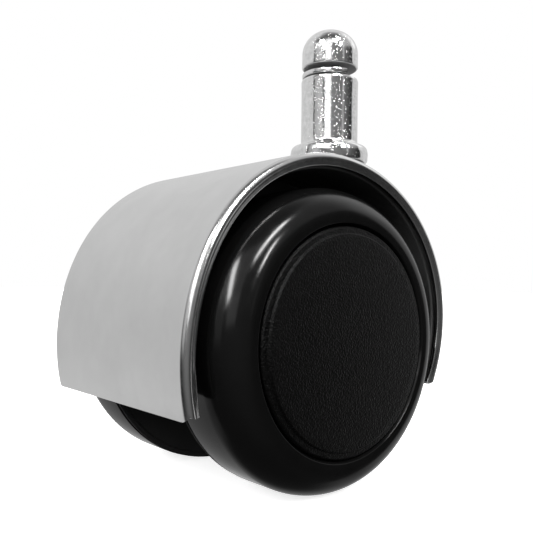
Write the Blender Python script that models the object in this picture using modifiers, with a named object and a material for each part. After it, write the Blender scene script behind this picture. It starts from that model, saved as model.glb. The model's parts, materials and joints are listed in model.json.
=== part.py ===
"""Twin-wheel chair caster with a chromed hood and a grip-ring stem.

Metres, +Z up. The origin is on the swivel axis, on the top face of the stem's
collar. +X is the way the caster rolls: the wheels trail behind the stem,
towards -X, and spin about an axle parallel to Y. +Y is the left-hand side.
Dimensions below are in millimetres.
"""
from math import atan2, copysign, cos, pi, radians, sin

import bmesh
import bpy
from mathutils import Matrix, Vector

MM = 0.001
GAP = 0.3                 # space kept between pieces that touch
FINE_STEPS = 40           # segments round the wheels
STEM_STEPS = 28           # segments round the stem
SMALL_STEPS = 24          # segments round pins, bushes and washers

# Swivel stem, heights from the collar's top face
STEM_RADIUS = 5.55
STEM_TOP = 22.95
HEAD_RADIUS = 5.5
DOME_HEIGHT = 4.7
HEAD_BOTTOM = 15.2
HEAD_TAPER = 0.4          # fall of the head's underside from rim to neck
NECK_RADIUS = 3.6
NECK_BOTTOM = 13.1
COLLAR_RADIUS = 7.6
COLLAR_HEIGHT = 3.4
JOURNAL_RADIUS = 4.0
JOURNAL_LENGTH = 28.0
RING_HEIGHT = 1.0
RING_SLOT = 7.6
RING_SLOT_ANGLE = -50.0   # degrees from +X towards +Y
COLLAR_EDGE = 0.5
FILLET = 0.4
SMALL_CHAMFER = 0.3

# Stem bearing
WASHER_THICKNESS = 1.0
BUSH_WALL = 1.0
BOSS_RADIUS = 7.2
BOSS_TOP = -(COLLAR_HEIGHT + WASHER_THICKNESS + 2 * GAP)
BOSS_BOTTOM = -29.5
BOSS_FLOOR_TOP = -23.9
BOSS_FLOOR_BOTTOM = -25.4
CLIP_THICKNESS = 0.8
CLIP_GROOVE_DEPTH = 0.8
CLIP_SLOT = 2.0
COUNTERBORE_RADIUS = 6.2

# Axle, behind and below the stem's collar
TRAIL = 19.0
DROP = 35.8
AXLE_RADIUS = 3.0
AXLE_HALF = 20.9
AXLE_GROOVE_DEPTH = 0.7
AXLE_LAND = 0.5           # axle left beyond its clip groove
AXLE_CLIP_RADIUS = 5.4
AXLE_BOSS_RADIUS = 6.4
AXLE_BOSS_HALF = 8.5
SPACER_THICKNESS = 0.7

# Hood, a swept sheet about the axle; angles from +X towards +Z
HOOD_RADIUS = 28.9
HOOD_HALF_WIDTH = 20.0
HOOD_SHEET = 1.0
HOOD_EDGE_ROUND = 1.1
HOOD_LIP = 2.1
HOOD_START = -19.4
HOOD_END = 199.2
HOOD_STEPS = 36
# Cosine and sine terms of the side outline: it is fuller above the stem
HOOD_BULGE = ((0.1, 0.6), (-0.15, 1.2), (0.6, 0.2))

# Housing: a liner under the hood, and a web that carries both axes
LINER_WALL = 1.2
WEB_HALF = 3.5
WEB_POINTS = 30

# Wheels, heights outboard from the middle plane
WHEEL_RADIUS = 24.0
WHEEL_INNER = 10.0
CORE_FLANGE = 0.6
CORE_FLANGE_RADIUS = 23.9
CORE_SEAT_RADIUS = 18.9
CORE_RIM_RADIUS = 16.2
CORE_RIM_FRONT = 20.9
CORE_BACK_WALL = 2.0
HUB_RADIUS = 7.0
HUB_FRONT = 19.0
HUB_BACK = AXLE_BOSS_HALF + SPACER_THICKNESS + 2 * GAP
SHOULDER_START = 17.4
SHOULDER_POWER = 1.85     # a little flatter than an ellipse, which is 2
TYRE_FRONT = 23.2
TYRE_FRONT_RADIUS = 19.0
TYRE_MOUTH_RADIUS = 18.0
CAP_RADIUS = TYRE_MOUTH_RADIUS - GAP
CAP_BACK = CORE_RIM_FRONT + GAP
CAP_RING_FRONT = 22.5
CAP_RING_RADIUS = 17.2
CAP_DISC_RADIUS = 16.4
CAP_DISC_FRONT = 23.6
CAP_DOME_FRONT = 24.0
CAP_SKIRT_DEPTH = 3.2
CAP_SKIRT_WALL = 0.9

SIDES = {"left": 1, "right": -1}

for old in list(bpy.data.objects):
    bpy.data.objects.remove(old, do_unlink=True)

parts = bpy.data.collections.new("chair_caster_wheel")
cutters = bpy.data.collections.new("cutters")
bpy.context.scene.collection.children.link(parts)
bpy.context.scene.collection.children.link(cutters)


# ---------------------------------------------------------------- materials

def surface(name, colour, roughness, metallic=0.0):
    """A Principled material for one sub-part."""
    material = bpy.data.materials.new(name)
    material.use_nodes = True
    shader = material.node_tree.nodes["Principled BSDF"]
    shader.inputs["Base Color"].default_value = (*colour, 1.0)
    shader.inputs["Roughness"].default_value = roughness
    shader.inputs["Metallic"].default_value = metallic
    return material


CHROME = (0.78, 0.78, 0.78)
PLATED = (0.72, 0.72, 0.71)
BLACK_PLASTIC = (0.02, 0.02, 0.02)
TREAD_BLACK = (0.025, 0.025, 0.025)
BUSH_WHITE = (0.75, 0.74, 0.7)


# ------------------------------------------------------------------ helpers

def add_object(name, data):
    item = bpy.data.objects.new(name, data)
    parts.objects.link(item)
    return item


def as_cutter(item):
    """Keep an object only as the tool of a boolean."""
    for user in list(item.users_collection):
        user.objects.unlink(item)
    cutters.objects.link(item)
    item.hide_render = True
    item.display_type = 'WIRE'
    return item


def turned(name, outline, steps, closed=True, start=0.0, sweep=360.0):
    """Turn a (radius, height) outline about the local Z axis.

    The outline runs down its outer side. A closed outline is a ring's section; an
    open one starts and ends on the axis, or is a bare sheet.
    """
    mesh = bpy.data.meshes.new(name)
    build = bmesh.new()
    angle = radians(start)
    ring = [build.verts.new((r * cos(angle) * MM, r * sin(angle) * MM, h * MM))
            for r, h in outline]
    pairs = list(zip(ring, ring[1:]))
    if closed:
        pairs.append((ring[-1], ring[0]))
    for pair in pairs:
        build.edges.new(pair)
    build.to_mesh(mesh)
    build.free()
    item = add_object(name, mesh)
    screw = item.modifiers.new("turn", 'SCREW')
    screw.axis = 'Z'
    screw.angle = radians(sweep)
    screw.steps = screw.render_steps = steps
    screw.use_merge_vertices = True
    screw.merge_threshold = 0.00001
    return item


def bake(item):
    """Replace an object's mesh, or a curve, by its evaluated mesh."""
    evaluated = item.evaluated_get(bpy.context.evaluated_depsgraph_get())
    mesh = bpy.data.meshes.new_from_object(evaluated)
    name = item.name
    solid = add_object(name + "_solid", mesh)
    solid.matrix_world = item.matrix_world.copy()
    bpy.data.objects.remove(item, do_unlink=True)
    solid.name = name
    build = bmesh.new()
    build.from_mesh(mesh)
    bmesh.ops.remove_doubles(build, verts=build.verts, dist=0.000001)
    build.to_mesh(mesh)
    build.free()
    return solid


def cylinder(name, radius, low, high, centre=(0.0, 0.0), along_y=False):
    """A cylinder along Z, or along Y, from low to high."""
    bpy.ops.mesh.primitive_cylinder_add(vertices=SMALL_STEPS, radius=radius * MM,
                                        depth=(high - low) * MM)
    item = bpy.context.active_object
    item.name = name
    middle = (low + high) / 2
    if along_y:
        turn = Matrix.Rotation(pi / 2, 4, 'X')
        place = Matrix.Translation(Vector((centre[0], middle, centre[1])) * MM)
    else:
        turn = Matrix.Identity(4)
        place = Matrix.Translation(Vector((centre[0], centre[1], middle)) * MM)
    item.data.transform(place @ turn)
    return as_cutter(item)


def combine(item, tool, operation):
    """Cut a tool from an object, or join it on."""
    boolean = item.modifiers.new(tool.name, 'BOOLEAN')
    boolean.operation = operation
    boolean.solver = 'EXACT'
    boolean.object = tool


def finish(item, material, sharp=35.0):
    """Give a part its material and smooth shading with sharp creases."""
    item.data.materials.clear()
    item.data.materials.append(material)
    item.data.shade_smooth()
    item.data.set_sharp_from_angle(angle=radians(sharp))
    return item


def washer_outline(inner, outer, low, high):
    return [(inner, high), (outer, high), (outer, low), (inner, low)]


def arc(centre_r, centre_h, radius_r, radius_h, first, last, count, power=2.0):
    """Points on a superellipse; angles from the +h axis towards +r, in degrees."""
    points = []
    for index in range(count + 1):
        turn = radians(first + (last - first) * index / count)
        across, up = sin(turn), cos(turn)
        across = copysign(abs(across) ** (2 / power), across)
        up = copysign(abs(up) ** (2 / power), up)
        points.append((centre_r + radius_r * across, centre_h + radius_h * up))
    return points


def swell(angle):
    """How far the hood's side outline stands outside its mean circle, mm."""
    return sum(across * cos(order * angle) + up * sin(order * angle)
               for order, (across, up) in enumerate(HOOD_BULGE, start=1))


def swell_mesh(item):
    """Push a turned sheet outward to follow the hood's side outline."""
    for vertex in item.data.vertices:
        ray = Vector((vertex.co.x, vertex.co.y, 0.0)).normalized()
        vertex.co += ray * swell(atan2(ray.y, ray.x)) * MM


def outboard(item, side):
    """Set a part turned about Z onto the axle, its height pointing outboard."""
    item.rotation_euler = (-side * pi / 2, 0.0, 0.0)
    item.location = Vector((-TRAIL, 0.0, -DROP)) * MM
    return item


def on_axle(item):
    return outboard(item, -1)


def split(item, radius, low, high, width, angle):
    """Cut a radial slot into a ring, which makes it a C."""
    bpy.ops.mesh.primitive_cube_add(size=1.0)
    tool = bpy.context.active_object
    tool.name = item.name + "_slot"
    box = Matrix.Diagonal((radius * 2, width, high - low, 1.0))
    place = Matrix.Translation((radius, 0.0, (low + high) / 2))
    tool.data.transform(Matrix.Rotation(radians(angle), 4, 'Z') @ place @ box)
    tool.data.transform(Matrix.Scale(MM, 4))
    tool.matrix_world = item.matrix_basis
    combine(item, as_cutter(tool), 'DIFFERENCE')
    return item


# --------------------------------------------------------------------- stem

def stem():
    """Kingpin: domed head, ring groove, shaft, collar and journal."""
    dome_base = STEM_TOP - DOME_HEIGHT
    crown = 0.5
    outline = [(0.0, STEM_TOP)]
    outline += arc(crown, dome_base, HEAD_RADIUS - crown, DOME_HEIGHT, 0, 90, 6)
    outline += [
        (HEAD_RADIUS, HEAD_BOTTOM),
        (NECK_RADIUS, HEAD_BOTTOM - HEAD_TAPER),
        (NECK_RADIUS, NECK_BOTTOM),
        (STEM_RADIUS - SMALL_CHAMFER, NECK_BOTTOM),
        (STEM_RADIUS, NECK_BOTTOM - SMALL_CHAMFER),
        (STEM_RADIUS, FILLET),
        (STEM_RADIUS + FILLET, 0.0),
    ]
    edge = COLLAR_EDGE
    outline += arc(COLLAR_RADIUS - edge, -edge, edge, edge, 0, 90, 3)
    outline += arc(COLLAR_RADIUS - edge, edge - COLLAR_HEIGHT, edge, edge, 90, 180, 3)
    groove_top = BOSS_FLOOR_BOTTOM
    groove_bottom = groove_top - CLIP_THICKNESS - 2 * GAP
    groove_radius = JOURNAL_RADIUS - CLIP_GROOVE_DEPTH
    outline += [
        (JOURNAL_RADIUS, -COLLAR_HEIGHT),
        (JOURNAL_RADIUS, groove_top),
        (groove_radius, groove_top),
        (groove_radius, groove_bottom),
        (JOURNAL_RADIUS, groove_bottom),
        (JOURNAL_RADIUS, SMALL_CHAMFER - JOURNAL_LENGTH),
        (JOURNAL_RADIUS - SMALL_CHAMFER, -JOURNAL_LENGTH),
        (0.0, -JOURNAL_LENGTH),
    ]
    item = turned("stem", outline, STEM_STEPS, closed=False)
    return finish(item, surface("plated_steel", PLATED, 0.22, 1.0))


def grip_ring():
    low = NECK_BOTTOM + GAP
    high = low + RING_HEIGHT
    ring = washer_outline(NECK_RADIUS + GAP, STEM_RADIUS - 0.1, low, high)
    item = turned("grip_ring", ring, STEM_STEPS)
    split(item, STEM_RADIUS + 1.0, low - 1.0, high + 1.0, RING_SLOT, RING_SLOT_ANGLE)
    return finish(item, surface("spring_steel", PLATED, 0.25, 1.0))


def stem_clip():
    """Retaining ring under the boss floor; it keeps the kingpin in."""
    high = BOSS_FLOOR_BOTTOM - GAP
    low = high - CLIP_THICKNESS
    inner = JOURNAL_RADIUS - CLIP_GROOVE_DEPTH + GAP
    ring = washer_outline(inner, COUNTERBORE_RADIUS - GAP, low, high)
    item = turned("stem_clip", ring, SMALL_STEPS)
    split(item, COUNTERBORE_RADIUS, low - 1.0, high + 1.0, CLIP_SLOT, 180.0)
    return finish(item, surface("clip_steel", (0.35, 0.35, 0.36), 0.35, 1.0))


def thrust_washer():
    """Takes the chair's weight between collar and housing."""
    high = -COLLAR_HEIGHT - GAP
    ring = washer_outline(JOURNAL_RADIUS + GAP, BOSS_RADIUS, high - WASHER_THICKNESS, high)
    item = turned("thrust_washer", ring, SMALL_STEPS)
    return finish(item, surface("washer_steel", (0.6, 0.6, 0.6), 0.3, 1.0))


def swivel_bush():
    inner = JOURNAL_RADIUS + GAP
    ring = washer_outline(inner, inner + BUSH_WALL, BOSS_FLOOR_TOP + GAP, BOSS_TOP - GAP)
    item = turned("swivel_bush", ring, SMALL_STEPS)
    return finish(item, surface("swivel_bush_nylon", BUSH_WHITE, 0.45))


# --------------------------------------------------------- hood and housing

def hood():
    """Sheet cover: an arch with rounded side edges and lips folded inward."""
    edge = HOOD_EDGE_ROUND
    half = HOOD_HALF_WIDTH
    lip = HOOD_RADIUS - HOOD_LIP
    outline = [(lip, half)]
    outline += arc(HOOD_RADIUS - edge, half - edge, edge, edge, 0, 90, 3)
    outline += [(r, -h) for r, h in reversed(outline)]
    item = turned("hood", outline, HOOD_STEPS, closed=False,
                  start=HOOD_START, sweep=HOOD_END - HOOD_START)
    item = bake(item)
    swell_mesh(item)
    on_axle(item)
    sheet = item.modifiers.new("sheet", 'SOLIDIFY')
    sheet.thickness = HOOD_SHEET * MM
    sheet.offset = -1.0
    sheet.use_even_offset = True
    combine(item, cylinder("hood_hole", BOSS_RADIUS + GAP, -DROP, 0.0), 'DIFFERENCE')
    return finish(item, surface("chromed_sheet", CHROME, 0.18, 1.0), sharp=50.0)


def liner():
    """Arch of plastic that lines the hood; the web is joined to it."""
    outer = HOOD_RADIUS - HOOD_SHEET - GAP
    half = HOOD_HALF_WIDTH - HOOD_SHEET - GAP
    item = turned("housing", [(outer, half), (outer, -half)], HOOD_STEPS, closed=False,
                  start=HOOD_START, sweep=HOOD_END - HOOD_START)
    item = bake(item)
    swell_mesh(item)
    on_axle(item)
    wall = item.modifiers.new("wall", 'SOLIDIFY')
    wall.thickness = LINER_WALL * MM
    wall.offset = -1.0
    return bake(item)


def web():
    """Plate inside the arch, closed below by a straight chord."""
    radius = HOOD_RADIUS - HOOD_SHEET - GAP - LINER_WALL / 2
    curve = bpy.data.curves.new("web", 'CURVE')
    curve.dimensions = '2D'
    curve.fill_mode = 'BOTH'
    curve.extrude = WEB_HALF * MM
    line = curve.splines.new('POLY')
    line.points.add(WEB_POINTS)
    line.use_cyclic_u = True
    trim = 1.0            # degrees kept back from the hood's ends
    span = HOOD_END - HOOD_START - 2 * trim
    for index, point in enumerate(line.points):
        angle = radians(HOOD_START + trim + span * index / WEB_POINTS)
        reach = (radius + swell(angle)) * MM
        point.co = (reach * cos(angle), reach * sin(angle), 0.0, 1.0)
    return as_cutter(bake(on_axle(add_object("web", curve))))


def housing():
    """Liner, web, kingpin boss and axle boss as one moulding."""
    axle_centre = (-TRAIL, -DROP)
    bearing = JOURNAL_RADIUS + BUSH_WALL + 2 * GAP
    item = liner()
    combine(item, web(), 'UNION')
    combine(item, cylinder("kingpin_boss", BOSS_RADIUS, BOSS_BOTTOM, BOSS_TOP), 'UNION')
    combine(item, cylinder("axle_boss", AXLE_BOSS_RADIUS, -AXLE_BOSS_HALF, AXLE_BOSS_HALF,
                           axle_centre, along_y=True), 'UNION')
    combine(item, cylinder("bush_bore", bearing, BOSS_FLOOR_TOP, 1.0), 'DIFFERENCE')
    combine(item, cylinder("kingpin_bore", JOURNAL_RADIUS + GAP, BOSS_BOTTOM, 1.0),
            'DIFFERENCE')
    combine(item, cylinder("counterbore", COUNTERBORE_RADIUS, -DROP - HOOD_RADIUS,
                            BOSS_FLOOR_BOTTOM), 'DIFFERENCE')
    combine(item, cylinder("axle_bore", AXLE_RADIUS + GAP, -HOOD_RADIUS, HOOD_RADIUS,
                           axle_centre, along_y=True), 'DIFFERENCE')
    return finish(item, surface("black_plastic", BLACK_PLASTIC, 0.5))


# --------------------------------------------------------- axle and wheels

def axle():
    groove_out = AXLE_HALF - AXLE_LAND
    groove_in = HUB_FRONT
    groove_radius = AXLE_RADIUS - AXLE_GROOVE_DEPTH
    half = [
        (0.0, AXLE_HALF),
        (AXLE_RADIUS - SMALL_CHAMFER, AXLE_HALF),
        (AXLE_RADIUS, AXLE_HALF - SMALL_CHAMFER),
        (AXLE_RADIUS, groove_out),
        (groove_radius, groove_out),
        (groove_radius, groove_in),
        (AXLE_RADIUS, groove_in),
    ]
    outline = half + [(r, -h) for r, h in reversed(half)]
    item = on_axle(turned("axle", outline, SMALL_STEPS, closed=False))
    return finish(item, surface("axle_steel", (0.6, 0.6, 0.6), 0.3, 1.0))


def spacer_washer(name, side):
    low = AXLE_BOSS_HALF + GAP
    ring = washer_outline(AXLE_RADIUS + GAP, AXLE_BOSS_RADIUS, low, low + SPACER_THICKNESS)
    item = outboard(turned("spacer_washer_" + name, ring, SMALL_STEPS), side)
    return finish(item, surface("spacer_nylon_" + name, BUSH_WHITE, 0.45))


def axle_clip(name, side):
    """Open ring in the axle's groove; it keeps the wheel on."""
    low = HUB_FRONT + GAP
    high = low + CLIP_THICKNESS
    ring = washer_outline(AXLE_RADIUS - AXLE_GROOVE_DEPTH + GAP, AXLE_CLIP_RADIUS, low, high)
    item = outboard(turned("axle_clip_" + name, ring, SMALL_STEPS), side)
    split(item, HUB_RADIUS, low - 1.0, high + 1.0, 2 * CLIP_SLOT, 90.0)
    return finish(item, surface("clip_steel_" + name, (0.35, 0.35, 0.36), 0.35, 1.0))


def hub_bush(name, side):
    inner = AXLE_RADIUS + GAP
    ring = washer_outline(inner, inner + BUSH_WALL, HUB_BACK + 0.1, HUB_FRONT - 0.1)
    item = outboard(turned("hub_bush_" + name, ring, SMALL_STEPS), side)
    return finish(item, surface("hub_bush_nylon_" + name, BUSH_WHITE, 0.45))


def wheel_core(name, side):
    """Rigid wheel body: hub, closed back wall, rim, and a flange behind the tyre."""
    bore = AXLE_RADIUS + BUSH_WALL + 2 * GAP
    wall_front = WHEEL_INNER + CORE_BACK_WALL
    outline = [
        (CORE_RIM_RADIUS, CORE_RIM_FRONT),
        (CORE_SEAT_RADIUS, CORE_RIM_FRONT),
        (CORE_SEAT_RADIUS, WHEEL_INNER + CORE_FLANGE),
        (CORE_FLANGE_RADIUS, WHEEL_INNER + CORE_FLANGE),
        (CORE_FLANGE_RADIUS, WHEEL_INNER),
        (HUB_RADIUS, WHEEL_INNER),
        (HUB_RADIUS, HUB_BACK),
        (bore, HUB_BACK),
        (bore, HUB_FRONT),
        (HUB_RADIUS, HUB_FRONT),
        (HUB_RADIUS, wall_front),
        (CORE_RIM_RADIUS, wall_front),
    ]
    item = outboard(turned("wheel_core_" + name, outline, FINE_STEPS), side)
    return finish(item, surface("core_plastic_" + name, BLACK_PLASTIC, 0.45))


def tyre(name, side):
    """Soft tread ring with a big rounded shoulder and a lip round the cap."""
    back = WHEEL_INNER + CORE_FLANGE + GAP
    bore = CORE_SEAT_RADIUS + GAP
    lip_back = CORE_RIM_FRONT + GAP
    outline = [
        (bore, lip_back),
        (TYRE_MOUTH_RADIUS, lip_back),
        (TYRE_MOUTH_RADIUS, TYRE_FRONT - 0.5),
        (TYRE_MOUTH_RADIUS + 0.5, TYRE_FRONT - 0.1),
    ]
    outline += arc(TYRE_FRONT_RADIUS, SHOULDER_START, WHEEL_RADIUS - TYRE_FRONT_RADIUS,
                   TYRE_FRONT - SHOULDER_START, 0, 90, 6, SHOULDER_POWER)
    outline += [
        (WHEEL_RADIUS, back + SMALL_CHAMFER),
        (WHEEL_RADIUS - SMALL_CHAMFER, back),
        (bore, back),
    ]
    item = outboard(turned("tyre_" + name, outline, FINE_STEPS), side)
    return finish(item, surface("tread_" + name, TREAD_BLACK, 0.25))


def wheel_cap(name, side):
    """Cover with a raised, slightly domed disc, and a snap skirt behind."""
    skirt = CORE_RIM_RADIUS - GAP
    outline = [
        (0.0, CAP_DOME_FRONT),
        (CAP_DISC_RADIUS / 2, CAP_DOME_FRONT - 0.1),
        (CAP_DISC_RADIUS - SMALL_CHAMFER, CAP_DISC_FRONT),
        (CAP_RING_RADIUS, CAP_RING_FRONT),
        (CAP_RADIUS - SMALL_CHAMFER, CAP_RING_FRONT),
        (CAP_RADIUS, CAP_RING_FRONT - SMALL_CHAMFER),
        (CAP_RADIUS, CAP_BACK),
        (skirt, CAP_BACK),
        (skirt, CAP_BACK - CAP_SKIRT_DEPTH),
        (skirt - CAP_SKIRT_WALL, CAP_BACK - CAP_SKIRT_DEPTH),
        (skirt - CAP_SKIRT_WALL, CAP_BACK),
        (0.0, CAP_BACK),
    ]
    item = turned("wheel_cap_" + name, outline, FINE_STEPS, closed=False)
    outboard(item, side)
    return finish(item, surface("cap_plastic_" + name, BLACK_PLASTIC, 0.55))


stem()
grip_ring()
stem_clip()
thrust_washer()
swivel_bush()
hood()
housing()
axle()
for side_name, side_sign in SIDES.items():
    spacer_washer(side_name, side_sign)
    axle_clip(side_name, side_sign)
    hub_bush(side_name, side_sign)
    wheel_core(side_name, side_sign)
    tyre(side_name, side_sign)
    wheel_cap(side_name, side_sign)
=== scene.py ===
"""Looks for the hooded twin-wheel chair caster.

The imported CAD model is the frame: every surface below takes its place and size
from the CAD nodes' boxes. Lengths inside the script are in millimetres.
"""
import json
from math import cos, degrees, pi, radians, sin, sqrt, tan

import bmesh
import bpy
from mathutils import Matrix, Vector


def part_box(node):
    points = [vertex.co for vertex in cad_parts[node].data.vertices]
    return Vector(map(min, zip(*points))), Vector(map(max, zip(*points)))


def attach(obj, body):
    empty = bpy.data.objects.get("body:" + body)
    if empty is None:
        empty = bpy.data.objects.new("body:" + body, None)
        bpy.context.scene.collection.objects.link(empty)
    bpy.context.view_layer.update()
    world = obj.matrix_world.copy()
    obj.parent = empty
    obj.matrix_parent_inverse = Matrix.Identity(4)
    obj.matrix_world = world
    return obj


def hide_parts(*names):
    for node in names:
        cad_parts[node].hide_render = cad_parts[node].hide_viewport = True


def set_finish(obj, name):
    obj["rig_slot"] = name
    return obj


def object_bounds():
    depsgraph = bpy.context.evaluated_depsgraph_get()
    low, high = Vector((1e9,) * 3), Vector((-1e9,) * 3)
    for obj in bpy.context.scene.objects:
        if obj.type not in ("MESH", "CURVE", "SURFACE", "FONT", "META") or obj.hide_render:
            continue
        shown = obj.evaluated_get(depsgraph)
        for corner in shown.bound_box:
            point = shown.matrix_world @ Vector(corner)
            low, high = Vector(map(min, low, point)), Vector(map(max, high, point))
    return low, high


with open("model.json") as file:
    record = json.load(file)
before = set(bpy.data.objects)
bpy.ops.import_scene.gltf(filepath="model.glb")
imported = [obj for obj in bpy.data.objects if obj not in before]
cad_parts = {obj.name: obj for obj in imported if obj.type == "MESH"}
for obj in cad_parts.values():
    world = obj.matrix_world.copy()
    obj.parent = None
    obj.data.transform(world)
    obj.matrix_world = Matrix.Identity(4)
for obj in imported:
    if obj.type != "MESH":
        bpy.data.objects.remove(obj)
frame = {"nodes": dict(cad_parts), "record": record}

cad_low, cad_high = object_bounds()

MM = 0.001
SIDES = {"left": 1, "right": -1}

ROUND = 144               # segments round wheels and stem
SWEEP = 180               # segments along the hood
HIDDEN_ROUND = 72         # segments round hidden bosses and bores
SHARP_ANGLE = 32.0        # degrees between faces that still shade smoothly


# ------------------------------------------------------------ CAD sizes, mm

def extent(node):
    low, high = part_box(node)
    return low / MM, high / MM


stem_low, stem_high = extent("stem")
hood_high = extent("hood")[1]
tyre_low, tyre_high = extent("tyre_left")
core_low, core_high = extent("wheel_core_left")
cap_low, cap_high = extent("wheel_cap_left")
ring_low, ring_high = extent("grip_ring")
bush_low = extent("swivel_bush")[0]

AXLE_X = (tyre_low.x + tyre_high.x) / 2
AXLE_Z = (tyre_low.z + tyre_high.z) / 2
WHEEL_RADIUS = (tyre_high.x - tyre_low.x) / 2
HOOD_HALF = hood_high.y
COLLAR_RADIUS = (stem_high.x - stem_low.x) / 2
STEM_TOP = stem_high.z

# Shapes that the boxes don't give; tops and bottoms count from the collar's top face
STEM_RADIUS = 5.55
HEAD_RADIUS = 5.5
NECK_RADIUS = 3.6
HEAD_BOTTOM = 15.2
NECK_BOTTOM = 13.1
COLLAR_HEIGHT = 3.4
JOURNAL_RADIUS = 4.0

HOOD_RADIUS = 28.88
HOOD_START = radians(-19.4)
HOOD_END = radians(199.2)
HOOD_SHEET = 1.0
HOOD_LIP = 2.15
# (cosine, sine) of one, two and three times the angle
HOOD_BULGE = ((0.1, 0.6), (-0.15, 1.2), (0.6, 0.2))

BOSS_RADIUS = 7.2
BOSS_HOLE = 7.5
BOSS_TOP = -5.0
BOSS_BOTTOM = -29.5


def swell(angle):
    """How far the hood's side outline stands outside its mean circle."""
    return sum(across * cos(order * angle) + up * sin(order * angle)
               for order, (across, up) in enumerate(HOOD_BULGE, start=1))


# ------------------------------------------------------------ mesh helpers

def new_piece(name, build, body, slot, *nodes):
    """Store a bmesh as a piece that rides on a body and stands for CAD nodes."""
    bmesh.ops.recalc_face_normals(build, faces=build.faces)
    mesh = bpy.data.meshes.new(name)
    build.to_mesh(mesh)
    build.free()
    piece = bpy.data.objects.new(name, mesh)
    bpy.context.scene.collection.objects.link(piece)
    mesh.shade_smooth()
    mesh.set_sharp_from_angle(angle=radians(SHARP_ANGLE))
    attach(piece, body)
    if nodes:
        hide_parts(*nodes)
    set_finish(piece, slot)
    return piece


def rounded(points, closed):
    """Round an outline's corners. A point is (r, h) or (r, h, radius)."""
    result = []
    count = len(points)
    for index, point in enumerate(points):
        here = Vector(point[:2])
        radius = point[2] if len(point) > 2 else 0.0
        at_end = not closed and index in (0, count - 1)
        if radius <= 0 or at_end:
            result.append(here)
            continue
        before = (Vector(points[index - 1][:2]) - here).normalized()
        after = (Vector(points[(index + 1) % count][:2]) - here).normalized()
        opening = before.angle(after)
        reach = radius / tan(opening / 2)
        centre = here + (before + after).normalized() * radius / sin(opening / 2)
        first = here + before * reach - centre
        turn = -first.angle_signed(here + after * reach - centre)
        steps = max(3, int(abs(turn) / radians(12)))
        for step in range(steps + 1):
            result.append(centre + Matrix.Rotation(turn * step / steps, 2) @ first)
    return result


def lathe(outline, place, steps=ROUND, closed=True):
    """Turn an outline into a closed mesh; place maps (r, angle, h) to a point."""
    build = bmesh.new()
    rings = []
    for r, h in outline:
        if r < 1e-6:
            rings.append([build.verts.new(place(0.0, 0.0, h))])
        else:
            rings.append([build.verts.new(place(r, 2 * pi * step / steps, h))
                          for step in range(steps)])
    pairs = list(zip(rings, rings[1:]))
    if closed:
        pairs.append((rings[-1], rings[0]))
    for upper, lower in pairs:
        for step in range(steps):
            following = (step + 1) % steps
            corners = [upper[step % len(upper)], upper[following % len(upper)],
                       lower[following % len(lower)], lower[step % len(lower)]]
            unique = list(dict.fromkeys(corners))
            if len(unique) > 2:
                build.faces.new(unique)
    return build


def join_loops(build, loops):
    """Skin a row of equal closed loops and cap both ends."""
    for first, second in zip(loops, loops[1:]):
        for index in range(len(first)):
            following = (index + 1) % len(first)
            build.faces.new((first[index], first[following], second[following], second[index]))
    build.faces.new(loops[0])
    build.faces.new(list(reversed(loops[-1])))


def about_stem(r, angle, h):
    return Vector((r * cos(angle), r * sin(angle), h)) * MM


def about_axle(side):
    def place(r, angle, h):
        return Vector((AXLE_X + r * cos(angle), side * h, AXLE_Z + r * sin(angle))) * MM
    return place


def ellipse(centre_r, centre_h, radius_r, radius_h, first, last, count, power=2.0):
    """Points on a superellipse; angles from the +h axis towards +r, degrees."""
    points = []
    for index in range(count + 1):
        turn = radians(first + (last - first) * index / count)
        across, up = sin(turn), cos(turn)
        across = abs(across) ** (2 / power) * (1 if across >= 0 else -1)
        up = abs(up) ** (2 / power) * (1 if up >= 0 else -1)
        points.append((centre_r + radius_r * across, centre_h + radius_h * up))
    return points


# --------------------------------------------------------------- materials

def material(name, colour, roughness, metallic=0.0, **sockets):
    """A Principled material; extra sockets by name with _ for a space."""
    made = bpy.data.materials.new(name)
    made.use_nodes = True
    shader = made.node_tree.nodes["Principled BSDF"]
    shader.inputs["Base Color"].default_value = (*colour, 1.0)
    shader.inputs["Roughness"].default_value = roughness
    shader.inputs["Metallic"].default_value = metallic
    for key, value in sockets.items():
        shader.inputs[key.replace("_", " ")].default_value = value
    return made


def node(made, kind, **values):
    item = made.node_tree.nodes.new(kind)
    for key, value in values.items():
        if key in item.inputs:
            item.inputs[key].default_value = value
        else:
            setattr(item, key, value)
    return item


def link(made, source, target):
    made.node_tree.links.new(source, target)


def noise(made, scale, detail=4.0, roughness=0.6, stretch=(1, 1, 1)):
    """Noise in object space, scale in features a metre."""
    coords = node(made, "ShaderNodeTexCoord")
    mapping = node(made, "ShaderNodeMapping")
    mapping.inputs["Scale"].default_value = stretch
    texture = node(made, "ShaderNodeTexNoise")
    texture.inputs["Scale"].default_value = scale
    texture.inputs["Detail"].default_value = detail
    texture.inputs["Roughness"].default_value = roughness
    link(made, coords.outputs["Object"], mapping.inputs["Vector"])
    link(made, mapping.outputs["Vector"], texture.inputs["Vector"])
    return texture.outputs["Fac"]


def spread(made, source, low, high, socket):
    """Map a 0..1 texture to a range on a shader socket."""
    remap = node(made, "ShaderNodeMapRange")
    remap.inputs["From Min"].default_value = 0.3
    remap.inputs["From Max"].default_value = 0.7
    remap.inputs["To Min"].default_value = low
    remap.inputs["To Max"].default_value = high
    link(made, source, remap.inputs["Value"])
    link(made, remap.outputs["Result"],
         made.node_tree.nodes["Principled BSDF"].inputs[socket])


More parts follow.
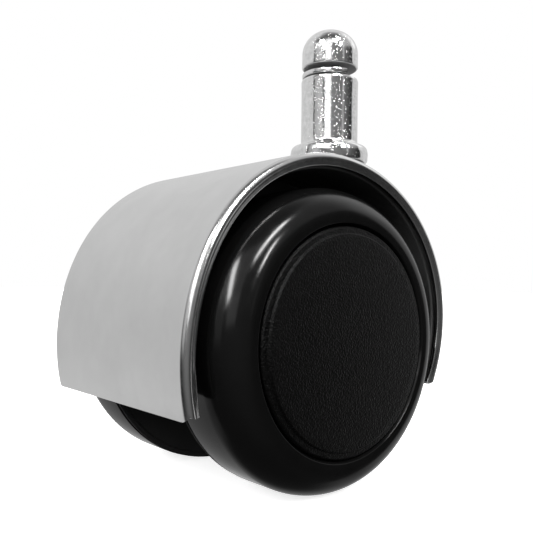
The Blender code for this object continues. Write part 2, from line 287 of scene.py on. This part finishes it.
def tint(made, source, dark, light):
    """Colour variation between two colours, driven by a texture."""
    ramp = node(made, "ShaderNodeValToRGB")
    ramp.color_ramp.elements[0].position = 0.3
    ramp.color_ramp.elements[0].color = (*dark, 1)
    ramp.color_ramp.elements[1].position = 0.7
    ramp.color_ramp.elements[1].color = (*light, 1)
    link(made, source, ramp.inputs["Fac"])
    link(made, ramp.outputs["Color"],
         made.node_tree.nodes["Principled BSDF"].inputs["Base Color"])


def fade(made, source, start, end):
    """0 before start and 1 after end."""
    remap = node(made, "ShaderNodeMapRange")
    remap.inputs["From Min"].default_value = start
    remap.inputs["From Max"].default_value = end
    link(made, source, remap.inputs["Value"])
    return remap.outputs["Result"]


def object_axes(made):
    """Sockets X, Y and Z of the place in object space, in metres."""
    coords = node(made, "ShaderNodeTexCoord")
    split = node(made, "ShaderNodeSeparateXYZ")
    link(made, coords.outputs["Object"], split.inputs["Vector"])
    return split.outputs


def maths(made, operation, first, second=None):
    """A math node; each operand is a number or a socket."""
    item = node(made, "ShaderNodeMath", operation=operation)
    for socket, value in zip(item.inputs, (first, second)):
        if isinstance(value, float):
            socket.default_value = value
        elif value is not None:
            link(made, value, socket)
    return item.outputs["Value"]


def paint_shade(made, unshaded, colour, roughness=None):
    """Painted shade: where the mask is 0, give the metal this darker colour and roughness."""
    shader = made.node_tree.nodes["Principled BSDF"]
    mix = node(made, "ShaderNodeMix", data_type='RGBA')
    link(made, unshaded, mix.inputs["Factor"])
    mix.inputs[6].default_value = (*colour, 1)
    link(made, shader.inputs["Base Color"].links[0].from_socket, mix.inputs[7])
    link(made, mix.outputs[2], shader.inputs["Base Color"])
    if roughness is not None:
        mix = node(made, "ShaderNodeMix", data_type='FLOAT')
        link(made, unshaded, mix.inputs["Factor"])
        mix.inputs[2].default_value = roughness
        link(made, shader.inputs["Roughness"].links[0].from_socket, mix.inputs[3])
        link(made, mix.outputs[0], shader.inputs["Roughness"])


def bump(made, source, height_mm, strength=1.0, after=None):
    """Relief from a texture, on top of the bump node given as after."""
    item = node(made, "ShaderNodeBump")
    item.inputs["Strength"].default_value = strength
    item.inputs["Distance"].default_value = height_mm * MM
    link(made, source, item.inputs["Height"])
    if after is not None:
        link(made, after.outputs["Normal"], item.inputs["Normal"])
    link(made, item.outputs["Normal"],
         made.node_tree.nodes["Principled BSDF"].inputs["Normal"])
    return item


def grey(value):
    return (value, value, value)


def chromed_sheet():
    made = material("chromed_sheet", grey(0.69), 0.19, 1.0)
    cloud = noise(made, 160.0, 3.0)
    tint(made, cloud, grey(0.67), grey(0.71))
    spread(made, noise(made, 900.0, 5.0), 0.15, 0.23, "Roughness")
    bump(made, noise(made, 2500.0, 2.0), 0.002, 0.4)
    # painted shade line at the foot of the rolled bead
    paint_bead_shade_line(made, HOOD_HALF - 0.86, 0.1)
    return made


def paint_bead_shade_line(made, across, reach):
    """Painted shade: a darker line along the foot of the rolled bead, on both sides, standing in
    for the shade of a crease there; mm.
    """
    side = maths(made, 'ABSOLUTE', object_axes(made)["Y"])
    away = maths(made, 'ABSOLUTE', maths(made, 'SUBTRACT', side, across * MM))
    # the darker grey here is painted shade for the crease
    paint_shade(made, fade(made, away, reach * MM / 2, reach * MM), grey(0.56))


def plated_steel():
    made = material("plated_steel", grey(0.82), 0.1, 1.0)
    tint(made, noise(made, 900.0, 5.0, 0.7), grey(0.74), grey(0.9))
    spread(made, noise(made, 1600.0, 4.0), 0.04, 0.1, "Roughness")
    waves = bump(made, noise(made, 900.0, 2.0, 0.6, (1, 1, 0.25)), 0.012, 0.5)
    specks = bump(made, noise(made, 2300.0, 2.0, 0.7, (1, 1, 0.8)), 0.025, 0.7, after=waves)
    pits = fade(made, noise(made, 2700.0, 2.0, 0.6, (1, 1, 0.7)), 0.6, 0.72)
    bump(made, pits, 0.025, 1.0, after=specks)
    # painted shade in the groove between the head and the shaft
    paint_groove_shade(made, NECK_BOTTOM, HEAD_BOTTOM + 0.35, STEM_RADIUS - 0.45, STEM_RADIUS - 0.15)
    return made


def paint_groove_shade(made, low, high, inner, outer):
    """Painted shade: darken the metal and make it rougher inside a groove about the stem, between
    two heights, standing in for the groove's shadow; mm.
    """
    axes = object_axes(made)
    flat = node(made, "ShaderNodeCombineXYZ")
    link(made, axes["X"], flat.inputs["X"])
    link(made, axes["Y"], flat.inputs["Y"])
    radius = node(made, "ShaderNodeVectorMath", operation='LENGTH')
    link(made, flat.outputs["Vector"], radius.inputs[0])
    edge = 0.1
    outside = fade(made, radius.outputs["Value"], inner * MM, outer * MM)
    above = fade(made, axes["Z"], high * MM, (high + edge) * MM)
    below = fade(made, axes["Z"], low * MM, (low - edge) * MM)
    unshaded = maths(made, 'MAXIMUM', maths(made, 'MAXIMUM', outside, above), below)
    # the dark grey here is painted shade for the groove's shadow
    paint_shade(made, unshaded, grey(0.3), 0.7)


def dark_steel(name, value):
    made = material(name, grey(value), 0.35, 1.0)
    tint(made, noise(made, 500.0), grey(value * 0.85), grey(value * 1.1))
    spread(made, noise(made, 1500.0), 0.28, 0.42, "Roughness")
    return made


def tread():
    made = material("tread", grey(0.0035), 0.12, Specular_IOR_Level=0.26)
    tint(made, noise(made, 120.0, 3.0), grey(0.003), grey(0.004))
    spread(made, noise(made, 350.0, 4.0), 0.13, 0.19, "Roughness")
    bump(made, noise(made, 500.0, 3.0), 0.008, 0.4)
    return made


def cap_plastic():
    made = material("cap_plastic", grey(0.001), 0.37, Specular_IOR_Level=0.11)
    tint(made, noise(made, 3000.0, 2.0, 0.8), grey(0.0), grey(0.0025))
    cells = node(made, "ShaderNodeTexVoronoi", feature='SMOOTH_F1')
    cells.inputs["Scale"].default_value = 3600.0
    cells.inputs["Smoothness"].default_value = 0.6
    coords = node(made, "ShaderNodeTexCoord")
    link(made, coords.outputs["Object"], cells.inputs["Vector"])
    first = bump(made, cells.outputs["Distance"], 0.08, 1.0)
    bump(made, noise(made, 3600.0, 2.0, 0.6), 0.11, 1.0, after=first)
    spread(made, noise(made, 1800.0, 2.0), 0.3, 0.44, "Roughness")
    return made


def moulded(name, value, roughness, **sockets):
    made = material(name, grey(value), roughness, **sockets)
    tint(made, noise(made, 90.0, 2.0), grey(value * 0.85), grey(value * 1.15))
    spread(made, noise(made, 700.0, 4.0), roughness - 0.07, roughness + 0.07, "Roughness")
    bump(made, noise(made, 1400.0, 3.0), 0.012, 0.4)
    return made


FINISH = {
    "plated_steel": plated_steel(),
    "clip_steel": dark_steel("clip_steel", 0.3),
    "washer_steel": dark_steel("washer_steel", 0.55),
    "axle_steel": dark_steel("axle_steel", 0.6),
    "bush_nylon": moulded("bush_nylon", 0.7, 0.45),
    "chromed_sheet": chromed_sheet(),
    "black_plastic": moulded("black_plastic", 0.045, 0.45, Specular_IOR_Level=0.45),
    "core_plastic": moulded("core_plastic", 0.03, 0.5, Specular_IOR_Level=0.05),
    "tread": tread(),
    "cap_plastic": cap_plastic(),
}


def paint(piece):
    piece.data.materials.clear()
    piece.data.materials.append(FINISH[piece["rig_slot"]])
    return piece


# --------------------------------------------------------------------- stem

def make_stem():
    dome_height = 4.7
    crown = 0.5
    dome = ellipse(crown, STEM_TOP - dome_height, HEAD_RADIUS - crown, dome_height, 0, 90, 20)
    journal_bottom = stem_low.z
    groove_top = bush_low.z - 1.8
    groove_bottom = groove_top - 1.4
    outline = [(0.0, STEM_TOP)] + dome + [
        (HEAD_RADIUS, HEAD_BOTTOM + 0.3, 0.2),
        (HEAD_RADIUS - 0.3, HEAD_BOTTOM + 0.15, 0.2),
        (NECK_RADIUS, HEAD_BOTTOM - 0.4, 0.15),
        (NECK_RADIUS, NECK_BOTTOM, 0.15),
        (STEM_RADIUS - 0.1, NECK_BOTTOM, 0.15),
        (STEM_RADIUS + 0.05, NECK_BOTTOM - 0.45, 0.3),
        (STEM_RADIUS, NECK_BOTTOM - 3.0, 2.0),
        (STEM_RADIUS, -0.1, 0.9),
        (COLLAR_RADIUS - 0.25, -0.1, 1.0),
        (COLLAR_RADIUS, -1.6, 1.2),
        (COLLAR_RADIUS - 0.1, -COLLAR_HEIGHT, 0.7),
        (JOURNAL_RADIUS, -COLLAR_HEIGHT, 0.15),
        (JOURNAL_RADIUS, groove_top, 0.1),
        (JOURNAL_RADIUS - 0.8, groove_top),
        (JOURNAL_RADIUS - 0.8, groove_bottom),
        (JOURNAL_RADIUS, groove_bottom, 0.1),
        (JOURNAL_RADIUS, journal_bottom, 0.4),
        (0.0, journal_bottom),
    ]
    build = lathe(rounded(outline, closed=False), about_stem, closed=False)
    return paint(new_piece("kingpin_stem", build, "stem", "plated_steel", "stem"))


def make_grip_ring():
    """A split ring: a rounded section swept nearly all the way round."""
    inner, outer, edge = NECK_RADIUS + 0.3, STEM_RADIUS - 0.1, 0.3
    low, high = ring_low.z, ring_high.z
    gap_centre, gap_width = radians(-50), 7.9
    section = rounded([(inner, high, edge), (outer, high, edge),
                       (outer, low, edge), (inner, low, edge)], closed=True)
    middle = (inner + outer) / 2
    half_gap = gap_width / 2 / middle
    start, span = gap_centre + half_gap, 2 * pi - 2 * half_gap
    steps = 96
    build = bmesh.new()
    loops = [[build.verts.new(about_stem(r, start + span * step / steps, h))
              for r, h in section] for step in range(steps + 1)]
    join_loops(build, loops)
    return paint(new_piece("split_grip_ring", build, "grip_ring", "plated_steel", "grip_ring"))


# --------------------------------------------------------- hood and housing

def arch_point(depth, angle, y):
    """A point so far under the hood's outer surface; angle from +X towards +Z."""
    reach = HOOD_RADIUS + swell(angle) - depth
    return Vector((AXLE_X + reach * cos(angle), y, AXLE_Z + reach * sin(angle))) * MM


def corner_trim(distance, radius):
    """How far a rounded corner holds an edge back, this far from the side."""
    inside = min(radius, max(0.0, radius - distance))
    return radius - sqrt(radius * radius - inside * inside)


def swept_arch(section, trim, steps=SWEEP, press=None):
    """Sweep a closed (y, depth) section along the hood. trim gives, for a point of
    the section, how far its ends stop short; press moves points near the ends."""
    build = bmesh.new()
    loops = []
    for step in range(steps + 1):
        loop = []
        for y, depth in section:
            back = trim(y, depth) / HOOD_RADIUS
            start, end = HOOD_START + back, HOOD_END - back
            angle = start + (end - start) * step / steps
            if press:
                from_end = min(angle - HOOD_START, HOOD_END - angle) * HOOD_RADIUS
                y += press(y, depth, from_end)
            loop.append(build.verts.new(arch_point(depth, angle, y)))
        loops.append(loop)
    join_loops(build, loops)
    return build


def lip_section():
    """Half of the hood's section: the sheet's face, the rolled bead, the set-back
    lip and its inner side, as (y, depth)."""
    half = HOOD_HALF
    bead_width, bead_height, steps = 1.2, 0.95, 14
    points = [(half - 2.0, 0.0), (half - 1.4, 0.0)]
    for step in range(steps + 1):
        turn = radians(90 * step / steps)
        points.append((half - bead_width + bead_width * sin(turn),
                       bead_height - bead_height * cos(turn)))
    points += [
        (half, 1.05),
        (half - 0.02, 1.15),
        (half - 0.06, 1.25),
        (half - 0.08, 1.35),
        (half - 0.10, 1.5),
        (half - 0.15, 1.7),
        (half - 0.20, 1.88),
        (half - 0.22, 2.02),
        (half - 0.27, 2.10),
        (half - 0.37, HOOD_LIP),
        (half - 0.62, HOOD_LIP),
        (half - 0.80, 2.02),
        (half - 0.90, 1.70),
        (half - 0.95, 1.35),
        (half - 1.15, 1.10),
        (half - 1.5, HOOD_SHEET),
    ]
    return points


def make_hood():
    half = lip_section()
    section = half + [(-y, depth) for y, depth in reversed(half)]
    corner_radius = 1.7

    def trim(y, depth):
        from_side = HOOD_HALF - abs(y)
        return corner_trim(max(from_side, depth * 0.8), corner_radius)

    def press(y, depth, from_end):
        """The set-back lip swells out a little near the hood's open ends."""
        if depth < 1.3 or depth > 2.12 or abs(y) < HOOD_HALF - 0.3:
            return 0.0
        swell_middle, swell_reach = 4.2, 3.2
        fullness = max(0.0, 1 - ((from_end - swell_middle) / swell_reach) ** 2)
        swelling = 0.13 * (depth - 1.2) * fullness
        return swelling if y > 0 else -swelling

    build = swept_arch(section, trim, SWEEP, press)
    hood = new_piece("hood_shell", build, "carriage", "chromed_sheet", "hood")
    hole = lathe([(BOSS_HOLE, 2.0), (BOSS_HOLE, -20.0), (0.0, -20.0), (0.0, 2.0)],
                 about_stem, 96, closed=True)
    cut(hood, hole)
    return paint(hood)


def apply_boolean(target, build, operation):
    """Cut a bmesh from a piece, or join it on, and keep the result as its mesh."""
    bmesh.ops.recalc_face_normals(build, faces=build.faces)
    mesh = bpy.data.meshes.new("tool")
    build.to_mesh(mesh)
    build.free()
    tool = bpy.data.objects.new("tool", mesh)
    bpy.context.scene.collection.objects.link(tool)
    modifier = target.modifiers.new("boolean", 'BOOLEAN')
    modifier.operation = operation
    modifier.solver = 'EXACT'
    modifier.object = tool
    evaluated = target.evaluated_get(bpy.context.evaluated_depsgraph_get())
    result = bpy.data.meshes.new_from_object(evaluated)
    target.modifiers.clear()
    target.data = result
    bpy.data.objects.remove(tool, do_unlink=True)
    result.shade_smooth()
    result.set_sharp_from_angle(angle=radians(SHARP_ANGLE))


def cut(target, build):
    apply_boolean(target, build, 'DIFFERENCE')


def make_housing():
    """Liner, web and bosses as one moulding, with softened edges."""
    gap, wall = 0.3, 1.2
    outer, half = HOOD_SHEET + gap, HOOD_HALF - HOOD_SHEET - gap
    inner = outer + wall
    section = rounded([(half, outer, 0.15), (half, inner, 0.35),
                       (-half, inner, 0.35), (-half, outer, 0.15)], closed=True)

    def trim(y, depth):
        return 0.25 + 0.5 * corner_trim(half - abs(y), 0.8)

    housing = new_piece("housing_moulding", swept_arch(section, trim, 96), "carriage",
                        "black_plastic", "housing")

    steps = 72
    build = bmesh.new()
    rings = []
    for y, inset in ((-3.5, 0.5), (-3.2, 0.0), (3.2, 0.0), (3.5, 0.5)):
        ring = []
        for step in range(steps + 1):
            edge = 0.02 + inset / HOOD_RADIUS
            angle = HOOD_START + edge + (HOOD_END - HOOD_START - 2 * edge) * step / steps
            ring.append(build.verts.new(arch_point(outer + wall / 2, angle, y)))
        rings.append(ring)
    join_loops(build, rings)
    apply_boolean(housing, build, 'UNION')
    apply_boolean(housing, lathe(rounded([
        (0.0, BOSS_TOP), (BOSS_RADIUS, BOSS_TOP, 0.3), (BOSS_RADIUS, BOSS_BOTTOM, 0.6),
        (0.0, BOSS_BOTTOM)], closed=False), about_stem, HIDDEN_ROUND, closed=False), 'UNION')
    apply_boolean(housing, lathe(rounded([
        (0.0, 8.5), (6.4, 8.5, 0.4), (6.4, -8.5, 0.4), (0.0, -8.5)], closed=False),
        about_axle(1), HIDDEN_ROUND, closed=False), 'UNION')
    for radius, low, high in ((5.6, -23.9, 1.0), (4.3, -30.0, 1.0), (6.2, -60.0, -25.4)):
        cut(housing, lathe([(0.0, high), (radius, high), (radius, low), (0.0, low)],
                           about_stem, HIDDEN_ROUND, closed=False))
    cut(housing, lathe([(0.0, 30.0), (3.3, 30.0), (3.3, -30.0), (0.0, -30.0)],
                       about_axle(1), 48, closed=False))
    return paint(housing)


# ------------------------------------------------------------------- wheels

def make_tyre(name, side):
    back, front = tyre_low.y, tyre_high.y
    seat, mouth = 19.2, 17.85
    shoulder_r, shoulder_h = 19.2, 17.4
    shoulder = ellipse(shoulder_r, shoulder_h, WHEEL_RADIUS - shoulder_r, front - shoulder_h,
                       0, 90, 40, 1.85)
    outline = [
        (seat, core_high.y + 0.3),
        (mouth, core_high.y + 0.3),
        (mouth, front - 0.9, 0.1),
        (mouth + 0.03, front - 0.65, 0.1),
        (mouth + 0.4, front, 0.15),
    ] + shoulder + [
        (WHEEL_RADIUS, back, 0.3),
        (seat, back),
    ]
    build = lathe(rounded(outline, closed=True), about_axle(side))
    return paint(new_piece("tyre_tread_" + name, build, "wheel_" + name, "tread", "tyre_" + name))


def make_core(name, side):
    back, front = core_low.y, core_high.y
    flange = 10.0
    outline = [
        (16.2, front, 0.1),
        (18.9, front, 0.1),
        (18.9, flange + 0.6),
        (23.9, flange + 0.6, 0.2),
        (23.9, flange, 0.22),
        (23.2, flange, 0.2),
        (22.9, flange + 0.4, 0.3),
        (9.4, flange + 0.4, 0.4),
        (8.8, flange, 0.4),
        (7.0, flange, 0.1),
        (7.0, back, 0.1),
        (4.6, back, 0.2),
        (4.6, 19.0, 0.2),
        (7.0, 19.0, 0.3),
        (7.0, flange + 2.0, 0.4),
        (16.2, flange + 2.0, 0.4),
    ]
    build = lathe(rounded(outline, closed=True), about_axle(side))
    return paint(new_piece("wheel_body_" + name, build, "wheel_" + name, "core_plastic",
                           "wheel_core_" + name))


def make_cap(name, side):
    front, back = cap_high.y, core_high.y + 0.3
    rim = (cap_high.x - cap_low.x) / 2
    disc, edge = 16.4, front - 0.4
    fall, steps = 0.38, 24
    dome = [(disc * step / steps, front - fall * (step / steps) ** 2)
            for step in range(steps)]
    outline = dome + [
        (disc, edge, 0.12),
        (disc + 0.06, front - 0.5, 0.05),
        (disc + 0.25, front - 0.72, 0.2),
        (rim - 0.3, front - 0.78, 0.2),
        (rim - 0.02, front - 1.1, 0.2),
        (rim, back, 0.1),
        (15.9, back),
        (15.9, cap_low.y, 0.2),
        (15.0, cap_low.y, 0.2),
        (15.0, back),
        (0.0, back),
    ]
    build = lathe(rounded(outline, closed=False), about_axle(side), closed=False)
    return paint(new_piece("cap_disc_" + name, build, "wheel_" + name, "cap_plastic",
                           "wheel_cap_" + name))


make_stem()
make_grip_ring()
make_hood()
make_housing()
for side_name, side_sign in SIDES.items():
    make_tyre(side_name, side_sign)
    make_core(side_name, side_sign)
    make_cap(side_name, side_sign)

slot_of = {entry["node"]: entry["material_slot"] for entry in frame["record"]["subparts"]}
for name, item in frame["nodes"].items():
    item.data.materials.clear()
    item.data.materials.append(FINISH[slot_of[name]])


# ------------------------------------------------------------------- studio

CAMERA_PLACE = Vector((-95.18, -91.73, -26.57)) * MM
CAMERA_YAW = 0.716 - 0.0036
CAMERA_PITCH = 0.021
CAMERA_ROLL = 0.013
CAMERA_LENS = 45.08

FLOOR_GLOW = 0.78
SWEEP_AZIMUTH = 61.5
SWEEP_TILT = 8
# from and to (azimuth, elevation), width, soft side, soft ends (degrees), strength
LAMPS = (
    ((-143, 9.5), (-143, 24), 22, 2, 2, 1.15),      # tall key light, lower part
    ((-143, 25), (-143, 58), 21, 2, 3, 0.8),        # and upper part
    ((179, 5), (179, 40), 30, 4, 12, 0.42),         # fill on the key's left
    ((177, 24), (177, 34), 12, 3, 3, 0.8),
    ((-123, 5), (-123, 40), 14, 5, 8, 0.04),        # fill on its right
    ((-80, 5), (-79, 26), 4, 2, 4, 0.35),
    ((-42, 33), (-42, 62), 60, 14, 12, 0.36),       # soft light from above
    ((-160, 27), (-175, 48), 3.5, 4.5, 6, 32.0),    # thin streaks on the tyre
    ((-115, 47), (-84, 59), 2.2, 3, 8, 52.0),
    ((-92, 28), (-85, 38), 1.8, 2.5, 4, 56.0),
)


def make_camera():
    data = bpy.data.cameras.new("camera")
    data.lens = CAMERA_LENS
    data.sensor_width = 36.0
    data.clip_start = 0.001
    ahead = Vector((sin(CAMERA_YAW) * cos(CAMERA_PITCH),
                    cos(CAMERA_YAW) * cos(CAMERA_PITCH), sin(CAMERA_PITCH)))
    right = Vector((cos(CAMERA_YAW), -sin(CAMERA_YAW), 0.0))
    above = right.cross(ahead)
    turn_right = right * cos(CAMERA_ROLL) + above * sin(CAMERA_ROLL)
    turn_above = above * cos(CAMERA_ROLL) - right * sin(CAMERA_ROLL)
    camera = bpy.data.objects.new("camera", data)
    basis = Matrix((turn_right, turn_above, -ahead)).transposed()
    camera.matrix_world = Matrix.Translation(CAMERA_PLACE) @ basis.to_4x4()
    bpy.context.scene.collection.objects.link(camera)
    bpy.context.scene.camera = camera


def toward(azimuth, elevation):
    """Unit vector; azimuth from +X towards +Y, in degrees."""
    flat = cos(radians(elevation))
    return Vector((flat * cos(radians(azimuth)), flat * sin(radians(azimuth)),
                   sin(radians(elevation))))


def make_world():
    """A studio by direction: a pale sweep behind, a dark room in front, and lamps.

    The camera itself sees a plain white backdrop in every direction."""
    world = bpy.data.worlds.new("studio")
    bpy.context.scene.world = world
    world.use_nodes = True
    tree = world.node_tree
    background = tree.nodes["Background"]
    coords = tree.nodes.new("ShaderNodeTexCoord")
    direction = coords.outputs["Generated"]

    def maths(operation, first, second=0.0, third=0.0):
        item = tree.nodes.new("ShaderNodeMath")
        item.operation = operation
        for socket, value in zip(item.inputs, (first, second, third)):
            if isinstance(value, (int, float)):
                socket.default_value = value
            else:
                tree.links.new(value, socket)
        return item.outputs[0]

    def along(vector):
        item = tree.nodes.new("ShaderNodeVectorMath")
        item.operation = 'DOT_PRODUCT'
        item.inputs[1].default_value = vector
        tree.links.new(direction, item.inputs[0])
        return item.outputs["Value"]

    def ramp(value, low, high, to_low=0.0, to_high=1.0):
        item = tree.nodes.new("ShaderNodeMapRange")
        item.interpolation_type = 'SMOOTHSTEP'
        for key, number in (("From Min", low), ("From Max", high),
                            ("To Min", to_low), ("To Max", to_high)):
            if isinstance(number, (int, float)):
                item.inputs[key].default_value = number
            else:
                tree.links.new(number, item.inputs[key])
        tree.links.new(value, item.inputs["Value"])
        return item.outputs["Result"]

    height = along((0, 0, 1))
    behind = ramp(along(toward(SWEEP_AZIMUTH, SWEEP_TILT)), -0.07,
                  ramp(height, 0.35, 0.85, 0.03, 0.5))
    not_under = ramp(height, -0.9, -0.7)
    not_over = ramp(height, 1.0, 0.9, 0.45, 1.0)
    sweep = maths('MULTIPLY', maths('MULTIPLY', behind, not_under), not_over)
    level = maths('ADD', ramp(height, -0.38, -0.05, 0.66, 0.62),
                  ramp(height, 0.0, 0.6, 0.0, 0.11))
    low_level = ramp(height, -0.65, -0.35, 0.42, 1.0)
    light = maths('MULTIPLY', maths('MULTIPLY', sweep, level), low_level)
    room = maths('ADD', ramp(along(toward(-120, 25)), 0.1, 1.0, 0.02, 0.19),
                 ramp(height, -0.3, -0.8, 0.0, 0.06))
    light = maths('ADD', light, room)
    for first, last, width, soft_side, soft_end, power in LAMPS:
        first, last = toward(*first), toward(*last)
        centre = (first + last).normalized()
        up = (last - first).normalized()
        side = up.cross(centre)
        tall = degrees(first.angle(last))
        ahead = maths('MAXIMUM', along(centre), 0.01)
        lit = ramp(along(centre), 0.0, 0.05)
        for direction_across, size, soft in ((side, width, soft_side), (up, tall, soft_end)):
            away = maths('ABSOLUTE', maths('DIVIDE', along(direction_across), ahead))
            lit = maths('MULTIPLY', lit, ramp(away, tan(radians(size / 2 + soft)),
                                              tan(radians(size / 2))))
        light = maths('MULTIPLY_ADD', lit, power, light)
    path = tree.nodes.new("ShaderNodeLightPath")
    shown = tree.nodes.new("ShaderNodeMix")
    shown.data_type = 'FLOAT'
    tree.links.new(path.outputs["Is Camera Ray"], shown.inputs["Factor"])
    tree.links.new(light, shown.inputs["A"])
    shown.inputs["B"].default_value = 1.0
    tree.links.new(shown.outputs["Result"], background.inputs["Strength"])
    background.inputs["Color"].default_value = (1, 1, 1, 1)


def make_floor():
    """A white floor; only the camera sees it, so the wheels don't glow from below."""
    bpy.ops.mesh.primitive_plane_add(size=4.0, location=(0, 0, cad_low.z - 0.0001))
    floor = bpy.context.active_object
    floor.name = "floor"
    made = material("floor_white", grey(0.85), 1.0)
    tree = made.node_tree
    shader = tree.nodes["Principled BSDF"]
    shader.inputs["Specular IOR Level"].default_value = 0.0
    shader.inputs["Emission Color"].default_value = (1, 1, 1, 1)
    shader.inputs["Emission Strength"].default_value = FLOOR_GLOW
    clear = tree.nodes.new("ShaderNodeBsdfTransparent")
    path = tree.nodes.new("ShaderNodeLightPath")
    mix = tree.nodes.new("ShaderNodeMixShader")
    tree.links.new(path.outputs["Is Camera Ray"], mix.inputs["Fac"])
    tree.links.new(clear.outputs["BSDF"], mix.inputs[1])
    tree.links.new(shader.outputs["BSDF"], mix.inputs[2])
    tree.links.new(mix.outputs["Shader"], tree.nodes["Material Output"].inputs["Surface"])
    floor.data.materials.append(made)


make_camera()
make_world()
make_floor()
bpy.context.scene.view_settings.view_transform = 'Standard'
